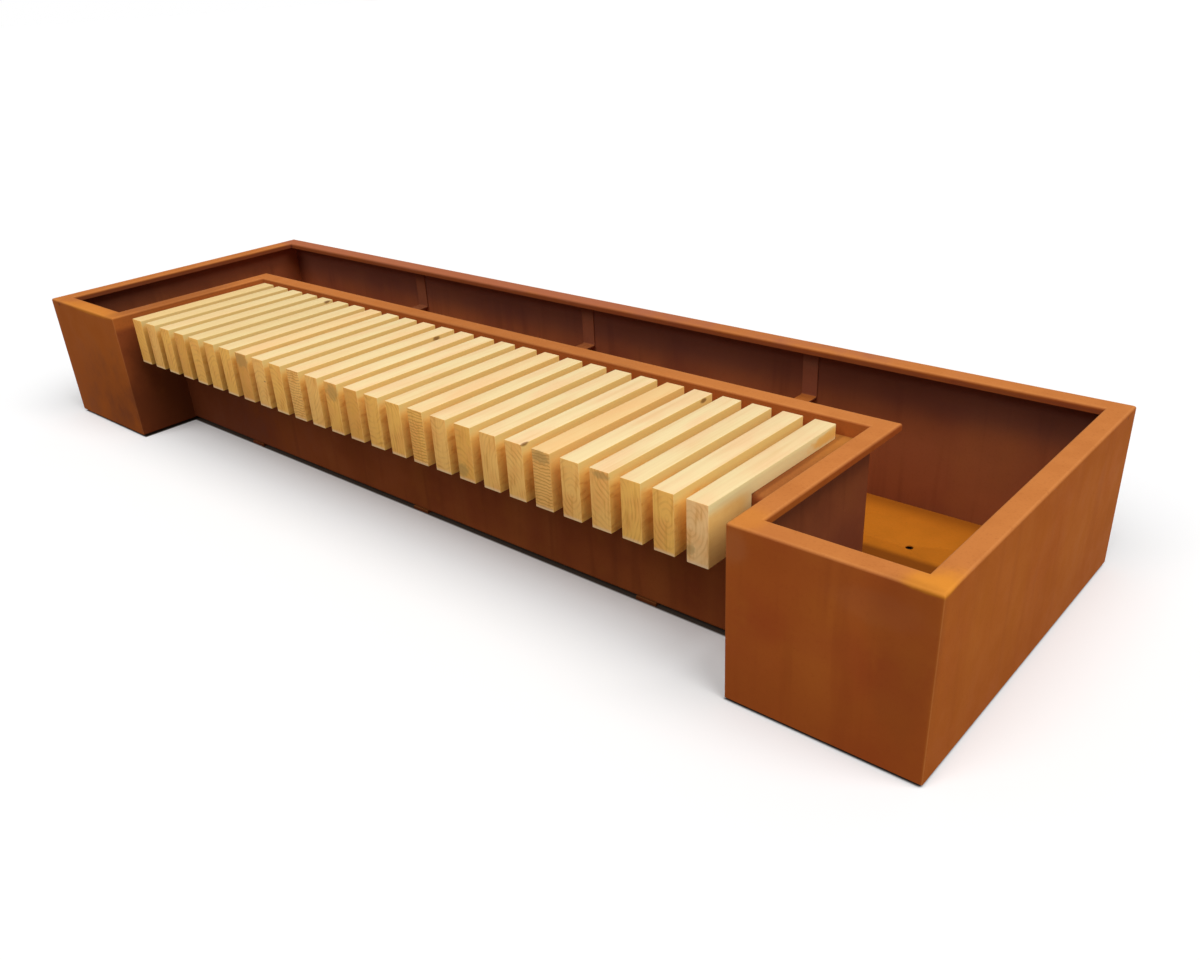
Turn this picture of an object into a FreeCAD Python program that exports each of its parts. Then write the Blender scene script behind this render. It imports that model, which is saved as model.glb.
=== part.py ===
import FreeCAD, Part
import math
import os

import Sketcher
from FreeCAD import Placement, Rotation, Vector

# A U-shaped trough of folded weathering steel stands round three sides of a
# timber seat. The frame has X along the length, Y from the front to the back
# and Z up. The origin is on the ground, under the middle of the length and depth.

# Driving dimensions in millimetres, with what each one measures.
SIZES = [
    ("overall_length", 3600, "outer length of the trough"),
    ("overall_depth", 1100, "outer depth, front to back"),
    ("wall_height", 450, "height of the folded walls"),
    ("arm_width", 480, "outer width of each arm of the trough"),
    ("recess_depth", 620, "from the arm fronts to the wall behind the seat"),
    ("plate", 4, "thickness of the steel sheet"),
    ("bend_radius", 7, "outer radius of the bends at the rim"),
    ("rim_width", 58, "width of the flat rim"),
    ("rim_lip", 20, "depth of the lip that turns down on the trough side"),
    ("drain_diameter", 22, "drain holes in the floor"),
    ("drain_pitch", 900, "from one drain hole to the next behind the seat"),
    ("arm_drain_setback", 240, "from an arm's front to its drain hole"),
    ("brace_width", 52, "width of the flat bar of a cross brace"),
    ("brace_thickness", 5, "thickness of that flat bar"),
    ("brace_bend", 10, "outer radius of its bends"),
    ("brace_level", 280, "top of the cross bar, above the bottom of the walls"),
    ("brace_top_gap", 12, "from the top of the walls to the ends of a brace"),
    ("brace_pitch", 905, "from one brace to the next"),
    ("brace_shift", -28, "middle brace, from the middle of the length"),
    ("deck_drop", 44, "from the rim down to the seat deck"),
    ("deck_bend", 18, "outer radius of the fold from the deck to its skirt"),
    ("foot_bend", 10, "outer radius of the fold at the foot of the skirt"),
    ("skirt_setback", 215, "from the arm fronts back to the skirt"),
    ("skirt_return", 35, "width of the fold under the skirt"),
    ("rib_height", 40, "depth of the bars under the deck"),
    ("rib_thickness", 5, "thickness of those bars"),
    ("rib_snipe", 16, "corner cut off a bar to clear the fold of the deck"),
    ("slat_width", 60, "width of a timber slat"),
    ("slat_pitch", 94, "from one slat to the next"),
    ("slat_left_gap", 60, "from the left cheek to the first slat"),
    ("slat_setback", 45, "from the arm fronts back to the slat noses"),
    ("slat_length", 545, "length of a slat"),
    ("slat_height", 160, "height of the nose of a slat"),
    ("slat_drop", 3, "from the rim down to the top of the slats"),
    ("slat_arris", 1.5, "planed corner along the edges of a slat"),
    ("notch_play", 1, "room between the nose of a slat and the skirt"),
    ("screw_diameter", 7, "shank of a slat screw, drawn with eight flats"),
    ("screw_play", 1, "how much wider its hole in the deck is"),
    ("screw_depth", 30, "how far a screw goes into a slat"),
    ("screw_head_width", 13, "across the flats of its head"),
    ("screw_head_height", 5, "height of its head"),
    ("screw_front", 70, "from the skirt back to the front row of screws"),
    ("screw_back", 310, "from the skirt back to the back row of screws"),
    ("bearer_height", 10, "thickness of the flat bars that it stands on"),
    ("bearer_width", 66, "width of those bars"),
    ("bearer_pitch", 905, "from one bearer under the seat to the next"),
    ("bearer_shift", 15, "middle bearer, from the middle of the length"),
    ("arm_bearer_inset", 80, "from the edge of an arm to its bearers"),
    ("arm_bearer_setback", 50, "from the front and back of an arm to their ends"),
]

SLAT_COUNT = 27
RIB_COUNT = 5
FIRST_RIB_GAP = 4
RIB_GAP_STEP = 5
# Drain holes of the back trough, from its middle, in drain pitches.
DRAIN_STEPS = (-1.5, -0.5, 0.5, 1.5)
HEAD_SIDES = 6
SHANK_SIDES = 8
QUARTER_TURN = 90
# How far a mitre cut runs past the corner line, in rim widths.
MITRE_REACH = 1.5
# Decimals of the cosines that the formulas hold.
DECIMALS = 6
# Room in millimetres for telling on which side of a plane an edge lies.
EDGE_MARGIN = 1
SIDES = {"left": -1, "right": 1}
STATIONS = {"left": -1, "middle": 0, "right": 1}
INWARD = -1
OUTWARD = 1

doc = FreeCAD.newDocument("bench_with_planter")
sub_parts = []


class Size:
    """A length in millimetres that carries the formula the document keeps for it."""

    def __init__(self, value, formula):
        self.value = float(value)
        self.formula = formula

    def __add__(self, other):
        other = as_size(other)
        return Size(self.value + other.value, f"({self.formula} + {other.formula})")

    def __sub__(self, other):
        other = as_size(other)
        return Size(self.value - other.value, f"({self.formula} - {other.formula})")

    def __mul__(self, number):
        return Size(self.value * number, f"({self.formula} * {number})")

    def __truediv__(self, number):
        return Size(self.value / number, f"({self.formula} / {number})")

    def __neg__(self):
        return self * -1


def as_size(value):
    """Keep a Size as it is, and make one of a plain number."""
    return value if isinstance(value, Size) else Size(value, str(value))


def fill_sheet():
    """Write the driving dimensions into the sheet and give each back as a Size."""
    table = doc.addObject("Spreadsheet::Sheet", "sizes")
    for row, (name, value, meaning) in enumerate(SIZES, start=1):
        table.set(f"A{row}", name)
        table.set(f"B{row}", str(value))
        table.set(f"C{row}", meaning)
        table.setAlias(f"B{row}", name)
    doc.recompute()
    return {name: Size(value, f"sizes.{name}") for name, value, meaning in SIZES}


SIZE = fill_sheet()

# Places that several sub-parts share, above the bottom of the walls where they are levels.
end_x = SIZE["overall_length"] / 2
back_y = SIZE["overall_depth"] / 2
front_y = -back_y
cheek_x = end_x - SIZE["arm_width"]
recess_y = front_y + SIZE["recess_depth"]
skirt_y = front_y + SIZE["skirt_setback"]
deck_level = SIZE["wall_height"] - SIZE["deck_drop"]
deck_underside = deck_level - SIZE["plate"]
slat_nose_y = front_y + SIZE["slat_setback"]
first_slat_x = SIZE["slat_left_gap"] - cheek_x
first_screw_x = first_slat_x + SIZE["slat_width"] / 2
screw_rows = {"front": skirt_y + SIZE["screw_front"], "back": skirt_y + SIZE["screw_back"]}


def origin_feature(body, role):
    """Find one of a body's own origin planes or axes by its role."""
    return next(item for item in body.Origin.OriginFeatures if item.Role == role)


def new_body(label):
    """Start a sub-part as a body of its own."""
    body = doc.addObject("PartDesign::Body", label)
    body.Label = label
    sub_parts.append(body)
    return body


def new_sketch(body, name, role, level=0):
    """Attach an empty sketch to one of the body's origin planes, raised by a level."""
    sketch = body.newObject("Sketcher::SketchObject", f"{body.Name}_{name}")
    sketch.AttachmentSupport = [(origin_feature(body, role), "")]
    sketch.MapMode = "FlatFace"
    level = as_size(level)
    sketch.AttachmentOffset = Placement(Vector(0, 0, level.value), Rotation())
    bind(sketch, "AttachmentOffset.Base.z", level)
    return sketch


def bind(item, name, size):
    """Let the sheet drive a property, where its size comes from the sheet."""
    if "sizes." in size.formula:
        item.setExpression(name, size.formula)


def constrain(sketch, kind, where, size, name):
    """Add a named driving constraint to a sketch."""
    size = as_size(size)
    index = sketch.addConstraint(Sketcher.Constraint(kind, *where, size.value))
    sketch.renameConstraint(index, name)
    bind(sketch, f"Constraints.{name}", size)


def place(body, x=0, y=0, z=0, turns=0):
    """Set a sub-part's place, turned about Z by a number of quarter turns."""
    sizes = [as_size(value) for value in (x, y, z)]
    turn = Rotation(Vector(0, 0, 1), QUARTER_TURN * turns)
    body.Placement = Placement(Vector(*(size.value for size in sizes)), turn)
    for axis, size in zip("xyz", sizes):
        bind(body, f".Placement.Base.{axis}", size)


def polygon(sketch, corners, name="corner"):
    """Draw a closed outline of straight edges, each corner held by its coordinates."""
    corners = [(as_size(u), as_size(v)) for u, v in corners]
    points = [Vector(u.value, v.value, 0) for u, v in corners]
    edges = [
        sketch.addGeometry(Part.LineSegment(point, following))
        for point, following in zip(points, points[1:] + points[:1])
    ]
    for number, (u, v) in enumerate(corners):
        before, edge = edges[number - 1], edges[number]
        sketch.addConstraint(Sketcher.Constraint("Coincident", before, 2, edge, 1))
        constrain(sketch, "DistanceX", (edge, 1), u, f"{name}_{number}_u")
        constrain(sketch, "DistanceY", (edge, 1), v, f"{name}_{number}_v")


def circle(sketch, u, v, diameter, name):
    """Draw a circle held by its centre and diameter."""
    u, v = as_size(u), as_size(v)
    centre = Vector(u.value, v.value, 0)
    up = Vector(0, 0, 1)
    index = sketch.addGeometry(Part.Circle(centre, up, diameter.value / 2))
    constrain(sketch, "Diameter", (index,), diameter, f"{name}_diameter")
    constrain(sketch, "DistanceX", (index, 3), u, f"{name}_u")
    constrain(sketch, "DistanceY", (index, 3), v, f"{name}_v")


def direction(vector):
    """Give a vector's direction, at length one."""
    return Vector(vector).normalize()


def add_arc(sketch, start, end, centre):
    """Add a quarter arc to a sketch, and say which of its ends comes first."""
    begin, finish = start - centre, end - centre
    anticlockwise = begin.cross(finish).z > 0
    if not anticlockwise:
        begin, finish = finish, begin
    angles = [math.atan2(arm.y, arm.x) for arm in (begin, finish)]
    whole = Part.Circle(centre, Vector(0, 0, 1), begin.Length)
    index = sketch.addGeometry(Part.ArcOfCircle(whole, *angles))
    return (index, 1, 2) if anticlockwise else (index, 2, 1)


def add_bent_line(sketch, corners, radii):
    """Draw a corner path as lines joined smoothly by arcs, each of its own radius."""
    chain = []
    start = corners[0]
    for before, corner, after, radius in zip(corners, corners[1:], corners[2:], radii):
        arrive, leave = direction(corner - before), direction(after - corner)
        bend_start, bend_end = corner - arrive * radius, corner + leave * radius
        line = sketch.addGeometry(Part.LineSegment(start, bend_start))
        chain.append((line, 1, 2))
        chain.append(add_arc(sketch, bend_start, bend_end, bend_start + leave * radius))
        start = bend_end
    chain.append((sketch.addGeometry(Part.LineSegment(start, corners[-1])), 1, 2))
    for (one, _, one_end), (two, two_start, _) in zip(chain, chain[1:]):
        sketch.addConstraint(Sketcher.Constraint("Tangent", one, one_end, two, two_start))
    return [index for index, _, _ in chain]


def hold_legs(sketch, legs, upright, places, name):
    """Keep the straight legs of a folded section square and where they belong."""
    for number, (leg, stands, spot) in enumerate(zip(legs, upright, places)):
        lean, reach = ("Vertical", "DistanceX") if stands else ("Horizontal", "DistanceY")
        sketch.addConstraint(Sketcher.Constraint(lean, leg))
        constrain(sketch, reach, (leg, 1), spot, f"{name}_leg_{number}")


def folded_section(sketch, path, thickness, radii, side):
    """Draw the section of a folded sheet, whose outer face follows a path of corners.

    Each fold has its own outer radius. The thickness lies on the left of the path
    where side is 1, and on its right where side is -1.
    """
    path = [(as_size(u), as_size(v)) for u, v in path]
    outer = [Vector(u.value, v.value, 0) for u, v in path]
    ways = [direction(after - before) for before, after in zip(outer, outer[1:])]
    normals = [Vector(-way.y, way.x, 0) * side for way in ways]
    offsets = [normals[0]]
    offsets += [one + two for one, two in zip(normals, normals[1:])]
    offsets.append(normals[-1])
    inner = [corner + shift * thickness.value for corner, shift in zip(outer, offsets)]

    outer_chain = add_bent_line(sketch, outer, [radius.value for radius in radii])
    inner_radii = [radius.value - thickness.value for radius in radii]
    inner_chain = add_bent_line(sketch, inner, inner_radii)
    bends = zip(outer_chain[1::2], inner_chain[1::2], radii)
    for number, (one, two, radius) in enumerate(bends):
        constrain(sketch, "Radius", (one,), radius, f"outer_bend_{number}")
        constrain(sketch, "Radius", (two,), radius - thickness, f"inner_bend_{number}")

    upright = [abs(way.y) > abs(way.x) for way in ways]
    outer_places = [u if stands else v for (u, v), stands in zip(path, upright)]
    inward = [normal.x + normal.y > 0 for normal in normals]
    inner_places = [
        spot + thickness if towards_plus else spot - thickness
        for spot, towards_plus in zip(outer_places, inward)
    ]
    hold_legs(sketch, outer_chain[::2], upright, outer_places, "outer")
    hold_legs(sketch, inner_chain[::2], upright, inner_places, "inner")

    for which, point, name in ((0, 1, "start"), (-1, 2, "finish")):
        cap = sketch.addGeometry(Part.LineSegment(outer[which], inner[which]))
        for end, chain in ((1, outer_chain), (2, inner_chain)):
            joint = Sketcher.Constraint("Coincident", cap, end, chain[which], point)
            sketch.addConstraint(joint)
        square = "Horizontal" if upright[which] else "Vertical"
        sketch.addConstraint(Sketcher.Constraint(square, cap))
        reach = "DistanceY" if upright[which] else "DistanceX"
        spot = path[which][1] if upright[which] else path[which][0]
        constrain(sketch, reach, (cap, 1), spot, f"{name}_reach")


def pad(body, sketch, length, reverse=False, name="pad"):
    """Extrude a sketch to a length."""
    feature = body.newObject("PartDesign::Pad", f"{body.Name}_{name}")
    feature.Profile = sketch
    feature.Length = length.value
    bind(feature, "Length", length)
    feature.Reversed = reverse
    return feature


def pocket(body, sketch, name, depth=None, reverse=False):
    """Cut a sketch into the body: to a depth, or else right through both ways."""
    doc.recompute()
    volume_before = body.Shape.Volume
    feature = body.newObject("PartDesign::Pocket", f"{body.Name}_{name}")
    feature.Profile = sketch
    if depth is None:
        feature.Type = "ThroughAll"
        feature.SideType = "Symmetric"
    else:
        feature.Length = depth.value
        bind(feature, "Length", depth)
        feature.Reversed = reverse
    doc.recompute()
    if feature.Shape.Volume >= volume_before:
        raise RuntimeError(f"{feature.Name} cuts nothing")
    return feature


def repeat_along_length(body, features):
    """Repeat features once for each slat, at the pitch of the slats."""
    pattern = body.newObject("PartDesign::LinearPattern", f"{body.Name}_rows")
    pattern.Originals = features
    pattern.Direction = (origin_feature(body, "X_Axis"), [""])
    pattern.Mode = "Spacing"
    pattern.Occurrences = SLAT_COUNT
    pattern.Offset = SIZE["slat_pitch"].value
    bind(pattern, "Offset", SIZE["slat_pitch"])
    body.Tip = pattern


def rim_panel(label, x, y, turns, span, start_way, finish_way):
    """Fold one wall of the trough with its rim and lip, and mitre both of its ends.

    It is drawn with its outer face on the YZ plane and its rim towards +X. An end
    that goes inward is shorter at the lip than at the outer face, and one that
    goes outward is longer.
    """
    body = new_body(label)
    rim, top = SIZE["rim_width"], SIZE["wall_height"]
    overrun = rim * (max(start_way, 0) + max(finish_way, 0))

    section = new_sketch(body, "section", "XZ_Plane")
    path = [(0, 0), (0, top), (rim, top), (rim, top - SIZE["rim_lip"])]
    folded_section(section, path, SIZE["plate"], [SIZE["bend_radius"]] * 2, side=-1)
    pad(body, section, span + overrun, reverse=True)

    # Each mitre plane goes through the upright corner line at 45 degrees.
    start = rim * max(start_way, 0)
    reach = rim * MITRE_REACH
    for end, way, corner, beyond in (
        ("start", start_way, start, -1),
        ("finish", finish_way, start + span, 1),
    ):
        triangle = [
            (-reach, corner + reach * (-beyond * way)),
            (reach, corner + reach * (beyond * way)),
        ]
        outside = corner + reach * beyond
        triangle.append((reach if way == INWARD else -reach, outside))
        mitre = new_sketch(body, f"{end}_mitre", "XY_Plane")
        polygon(mitre, triangle)
        pocket(body, mitre, f"{end}_cut")
    place(body, x, y, SIZE["bearer_height"], turns)


def trough_walls():
    """Make the eight folded walls of the U-shaped trough."""
    length, depth = SIZE["overall_length"], SIZE["overall_depth"]
    arm, recess = SIZE["arm_width"], SIZE["recess_depth"]
    rim = SIZE["rim_width"]
    rim_panel("left_end_panel", -end_x, front_y, 0, depth, INWARD, INWARD)
    rim_panel("right_end_panel", end_x, back_y, 2, depth, INWARD, INWARD)
    rim_panel("back_panel", -end_x, back_y, 3, length, INWARD, INWARD)
    rim_panel("left_front_panel", -cheek_x, front_y, 1, arm, INWARD, INWARD)
    rim_panel("right_front_panel", end_x, front_y, 1, arm, INWARD, INWARD)
    rim_panel("left_cheek_panel", -cheek_x, recess_y + rim, 2, recess, OUTWARD, INWARD)
    rim_panel("right_cheek_panel", cheek_x, front_y, 0, recess, INWARD, OUTWARD)
    rim_panel("recess_back_panel", cheek_x + rim, recess_y, 1, cheek_x * 2, OUTWARD, OUTWARD)


def floor_plate(label, west, east, south, north, drains):
    """Cut a flat floor plate with its drain holes."""
    body = new_body(label)
    outline = new_sketch(body, "outline", "XY_Plane")
    polygon(outline, [(west, south), (east, south), (east, north), (west, north)])
    for number, (x, y) in enumerate(drains):
        circle(outline, x, y, SIZE["drain_diameter"], f"drain_{number}")
    pad(body, outline, SIZE["plate"])
    place(body, z=SIZE["bearer_height"])


def trough_floors():
    """Lay three floor plates between the walls, with drains along their middles."""
    plate = SIZE["plate"]
    behind_recess = recess_y + plate
    back_inside = back_y - plate
    middle_y = (recess_y + back_y) / 2
    drains = [(SIZE["drain_pitch"] * step, middle_y) for step in DRAIN_STEPS]
    floor_plate("back_floor", plate - end_x, end_x - plate, behind_recess, back_inside, drains)
    for name, side in SIDES.items():
        edges = sorted([(end_x - plate) * side, (cheek_x + plate) * side], key=lambda e: e.value)
        drain = ((end_x + cheek_x) / 2 * side, front_y + SIZE["arm_drain_setback"])
        floor_plate(f"{name}_floor", *edges, front_y + plate, behind_recess, [drain])


def cross_braces():
    """Bend three flat bars into U shapes that tie the two walls of the back trough."""
    thickness = SIZE["brace_thickness"]
    near, far = recess_y + SIZE["plate"], back_y - SIZE["plate"]
    bottom = SIZE["brace_level"] - thickness
    top = SIZE["wall_height"] - SIZE["brace_top_gap"]
    for name, step in STATIONS.items():
        body = new_body(f"{name}_brace")
        section = new_sketch(body, "section", "YZ_Plane")
        path = [(far, top), (far, bottom), (near, bottom), (near, top)]
        folded_section(section, path, thickness, [SIZE["brace_bend"]] * 2, side=-1)
        pad(body, section, SIZE["brace_width"])
        centre = SIZE["brace_shift"] + SIZE["brace_pitch"] * step
        place(body, centre - SIZE["brace_width"] / 2, z=SIZE["bearer_height"])


def regular_outline(sketch, x, y, across_flats, side_count, name):
    """Draw a regular outline with a given size across its flats."""
    to_corner = across_flats / (2 * math.cos(math.pi / side_count))
    corners = []
    for number in range(side_count):
        angle = math.tau * number / side_count
        along = round(math.cos(angle), DECIMALS)
        across = round(math.sin(angle), DECIMALS)
        corners.append((x + to_corner * along, y + to_corner * across))
    polygon(sketch, corners, name)


def screw_pair(body, name, level, centre_x, across_flats, side_count):
    """Draw the outlines of one slat's two screws on a sketch at a level."""
    sketch = new_sketch(body, name, "XY_Plane", level)
    for row, y in screw_rows.items():
        regular_outline(sketch, centre_x, y, across_flats, side_count, f"{row}_{name}")
    return sketch


def seat_deck():
    """Fold the seat deck with its skirt and foot, and drill it for the slat screws."""
    body = new_body("seat_deck")
    section = new_sketch(body, "section", "YZ_Plane")
    path = [
        (recess_y, deck_level),
        (skirt_y, deck_level),
        (skirt_y, 0),
        (skirt_y + SIZE["skirt_return"], 0),
    ]
    folds = [SIZE["deck_bend"], SIZE["foot_bend"]]
    folded_section(section, path, SIZE["plate"], folds, side=1)
    sheet = pad(body, section, cheek_x * 2)
    sheet.SideType = "Symmetric"
    doc.recompute()
    hole = SIZE["screw_diameter"] + SIZE["screw_play"]
    holes = screw_pair(body, "holes", deck_level, first_screw_x, hole, SHANK_SIDES)
    first_pair = pocket(body, holes, "first_holes", SIZE["plate"])
    repeat_along_length(body, [first_pair])
    place(body, z=SIZE["bearer_height"])


def slat_screws():
    """Make the hexagon-headed screws that hold the slats from under the deck."""
    body = new_body("slat_screws")
    body.AllowCompound = True
    head_width, shank_width = SIZE["screw_head_width"], SIZE["screw_diameter"]
    heads = screw_pair(body, "heads", deck_underside, first_screw_x, head_width, HEAD_SIDES)
    head = pad(body, heads, SIZE["screw_head_height"], reverse=True, name="head")
    shanks = screw_pair(body, "shanks", deck_underside, first_screw_x, shank_width, SHANK_SIDES)
    shank = pad(body, shanks, SIZE["plate"] + SIZE["screw_depth"], name="shank")
    repeat_along_length(body, [head, shank])
    place(body, z=SIZE["bearer_height"])


def long_edges(shape, width):
    """Name a slat's edges that run front to back or up, which the planing takes off."""
    names = []
    for number, edge in enumerate(shape.Edges, start=1):
        across = edge.BoundBox.XLength > width / 2
        on_nose = edge.BoundBox.YMax < slat_nose_y.value + EDGE_MARGIN
        on_top = edge.BoundBox.ZMin > deck_level.value + EDGE_MARGIN
        if (on_nose or on_top) and not across:
            names.append(f"Edge{number}")
    return names


def slat(number):
    """Notch one slat over the skirt, plane its edges and drill it for its screws."""
    body = new_body(f"slat_{number + 1:02d}")
    top = SIZE["wall_height"] - SIZE["slat_drop"]
    tail_y = slat_nose_y + SIZE["slat_length"]
    notch_y = skirt_y - SIZE["notch_play"]
    bottom = top - SIZE["slat_height"]
    outline = new_sketch(body, "outline", "YZ_Plane")
    polygon(outline, [
        (slat_nose_y, bottom),
        (notch_y, bottom),
        (notch_y, deck_level),
        (tail_y, deck_level),
        (tail_y, top),
        (slat_nose_y, top),
    ])
    block = pad(body, outline, SIZE["slat_width"])
    doc.recompute()

    planing = body.newObject("PartDesign::Chamfer", f"{body.Name}_planing")
    planing.Base = (block, long_edges(block.Shape, SIZE["slat_width"].value))
    planing.Size = SIZE["slat_arris"].value
    bind(planing, "Size", SIZE["slat_arris"])

    middle_x = SIZE["slat_width"] / 2
    holes = screw_pair(body, "holes", deck_level, middle_x, SIZE["screw_diameter"], SHANK_SIDES)
    pocket(body, holes, "pilot_holes", SIZE["screw_depth"], reverse=True)
    place(body, first_slat_x + SIZE["slat_pitch"] * number, z=SIZE["bearer_height"])


def deck_rib(number):
    """Stand a flat bar on edge under the deck, in line with a gap between slats."""
    body = new_body(f"deck_rib_{number + 1}")
    front, back = skirt_y + SIZE["plate"], recess_y
    bottom = deck_underside - SIZE["rib_height"]
    snipe = SIZE["rib_snipe"]
    outline = new_sketch(body, "outline", "YZ_Plane")
    polygon(outline, [
        (front, bottom),
        (back, bottom),
        (back, deck_underside),
        (front + snipe, deck_underside),
        (front, deck_underside - snipe),
    ])
    pad(body, outline, SIZE["rib_thickness"])
    slats_before = FIRST_RIB_GAP + RIB_GAP_STEP * number
    gap_middle = first_slat_x + SIZE["slat_pitch"] * slats_before
    gap_middle = gap_middle - (SIZE["slat_pitch"] - SIZE["slat_width"]) / 2
    place(body, gap_middle - SIZE["rib_thickness"] / 2, z=SIZE["bearer_height"])


def bearer(label, centre_x, south, north):
    """Lay a flat bar on the ground, front to back, for the walls to stand on."""
    body = new_body(label)
    half = SIZE["bearer_width"] / 2
    outline = new_sketch(body, "outline", "XY_Plane")
    polygon(outline, [(-half, south), (half, south), (half, north), (-half, north)])
    pad(body, outline, SIZE["bearer_height"])
    place(body, centre_x)


def bearers():
    """Lay the bearers under the seat and under the two arms."""
    for name, step in STATIONS.items():
        centre = SIZE["bearer_shift"] + SIZE["bearer_pitch"] * step
        bearer(f"{name}_seat_bearer", centre, skirt_y, back_y)
    to_middle = SIZE["arm_bearer_inset"] + SIZE["bearer_width"] / 2
    south = front_y + SIZE["arm_bearer_setback"]
    north = back_y - SIZE["arm_bearer_setback"]
    for name, side in SIDES.items():
        bearer(f"{name}_arm_outer_bearer", (end_x - to_middle) * side, south, north)
        bearer(f"{name}_arm_inner_bearer", (cheek_x + to_middle) * side, south, north)


def check_document():
    """Stop if any object of the document failed, or a sub-part has no sound solid."""
    for item in doc.Objects:
        if {"Invalid", "Error"} & set(item.State):
            raise RuntimeError(f"{item.Name} failed: {item.State}")
    for body in sub_parts:
        if body.Shape.isNull() or not body.Shape.isValid() or not body.Shape.Solids:
            raise RuntimeError(f"{body.Label} has no sound solid")


trough_walls()
trough_floors()
cross_braces()
seat_deck()
for rib_number in range(RIB_COUNT):
    deck_rib(rib_number)
for slat_number in range(SLAT_COUNT):
    slat(slat_number)
slat_screws()
bearers()

doc.recompute()
check_document()

os.makedirs("parts", exist_ok=True)
for part_body in sub_parts:
    part_body.Shape.exportStep(f"parts/{part_body.Label}.step")
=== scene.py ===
import math
import random

import bmesh
import bpy
from mathutils import Matrix, Vector


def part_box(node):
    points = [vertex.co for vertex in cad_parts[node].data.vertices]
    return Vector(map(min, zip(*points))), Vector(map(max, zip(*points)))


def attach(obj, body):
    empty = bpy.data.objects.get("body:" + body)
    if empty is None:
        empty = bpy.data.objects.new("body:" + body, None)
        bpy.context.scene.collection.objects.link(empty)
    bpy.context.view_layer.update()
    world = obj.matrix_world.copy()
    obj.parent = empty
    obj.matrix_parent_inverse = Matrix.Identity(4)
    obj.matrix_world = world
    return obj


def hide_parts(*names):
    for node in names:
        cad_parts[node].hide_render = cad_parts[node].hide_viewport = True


# A bench with a planter: a U-shaped trough of folded weathering steel round three
# sides of a seat of upright pine slats. Metres, +Z up, on the frame's own places.
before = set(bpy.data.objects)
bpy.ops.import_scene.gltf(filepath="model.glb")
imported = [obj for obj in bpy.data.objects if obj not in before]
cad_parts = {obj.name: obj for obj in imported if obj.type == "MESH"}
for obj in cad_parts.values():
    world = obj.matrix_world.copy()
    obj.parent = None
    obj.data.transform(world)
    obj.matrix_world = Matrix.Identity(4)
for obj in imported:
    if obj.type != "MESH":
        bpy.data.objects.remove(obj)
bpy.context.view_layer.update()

scene = bpy.context.scene
MM = 0.001
BODY = "root"

# Sizes that the frame's boxes don't give: the folded sheet, the play in a slat's notch,
# and how far edges are softened.
SHEET = 4 * MM
BEND = 7 * MM
LIP = 20 * MM
NOTCH_PLAY = 1 * MM
CORNER_GRIND = 2.5 * MM
PLATE_EDGE, BAR_EDGE, SLAT_EDGE = 0.5 * MM, 0.8 * MM, 1.5 * MM

# Places that the frame gives.
end_low, end_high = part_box("right_end_panel")
WALL_FOOT, WALL_TOP = end_low.z, end_high.z
END_X, RIM = end_high.x, end_high.x - end_low.x
FRONT_Y, BACK_Y = end_low.y, end_high.y
CHEEK_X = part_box("right_cheek_panel")[0].x
RECESS_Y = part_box("recess_back_panel")[0].y
DECK_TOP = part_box("seat_deck")[1].z
SKIRT_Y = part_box("seat_deck")[0].y
SLAT_COUNT = 27
NOSE_FOOT, NOSE_TOP = (corner.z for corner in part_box("slat_01"))
SEAT_END_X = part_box(f"slat_{SLAT_COUNT}")[1].x

# Places closer than this are the same one.
NEAR = 0.01 * MM
# Edges that turn by more than these angles stay sharp in the shading, or are softened.
SHARP_SHADING, SHARP_EDGE = math.radians(35), math.radians(50)


# Small tools for meshes and pieces.

def close(one, two):
    """Say whether two lengths are the same for this model."""
    return abs(one - two) < NEAR


def bevel(bm, edges, size, segments):
    """Round edges off to a size, and mark the rounding for paler rubbed wear and a painted
    highlight.
    """
    rubbed_and_highlighted = bm.verts.layers.float.get("rubbed_and_highlighted") or bm.verts.layers.float.new("rubbed_and_highlighted")
    made = bmesh.ops.bevel(
        bm, geom=edges, offset=size, offset_type="OFFSET", segments=segments,
        profile=0.5, affect="EDGES", material=-1, clamp_overlap=False,
    )
    rounding = set(made["faces"])
    for vertex in made["verts"]:
        if rounding.issuperset(vertex.link_faces):
            vertex[rubbed_and_highlighted] = 1


def sharp_edges(bm):
    """Find the edges that stick out sharply."""
    return [
        edge for edge in bm.edges
        if len(edge.link_faces) == 2 and edge.calc_face_angle_signed() > SHARP_EDGE
    ]


def make_piece(name, bm, materials, nodes):
    """Turn a bmesh into a piece of the bench that stands for CAD nodes."""
    mesh = bpy.data.meshes.new(name)
    bm.to_mesh(mesh)
    bm.free()
    for material in materials:
        mesh.materials.append(material)
    mesh.shade_smooth()
    mesh.set_sharp_from_angle(angle=SHARP_SHADING)
    piece = bpy.data.objects.new(name, mesh)
    scene.collection.objects.link(piece)
    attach(piece, BODY)
    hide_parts(*nodes)
    return piece


def keep_on_points(piece, name, value):
    """Write one number or vector on every point of a piece, for its material to read."""
    is_vector = isinstance(value, Vector)
    kind = "FLOAT_VECTOR" if is_vector else "FLOAT"
    attribute = piece.data.attributes.new(name, kind, "POINT")
    field = "vector" if is_vector else "value"
    values = list(value) if is_vector else [value]
    attribute.data.foreach_set(field, values * len(piece.data.vertices))


# Materials.

def colour(code):
    """Turn an sRGB hex code into linear RGBA."""
    parts = [int(code[i:i + 2], 16) / 255 for i in (1, 3, 5)]
    linear = [c / 12.92 if c <= 0.04045 else ((c + 0.055) / 1.055) ** 2.4 for c in parts]
    return (*linear, 1.0)


def per_metre(size_mm):
    """Give the noise scale whose features are about a real size in millimetres."""
    return 1000 / size_mm


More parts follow.
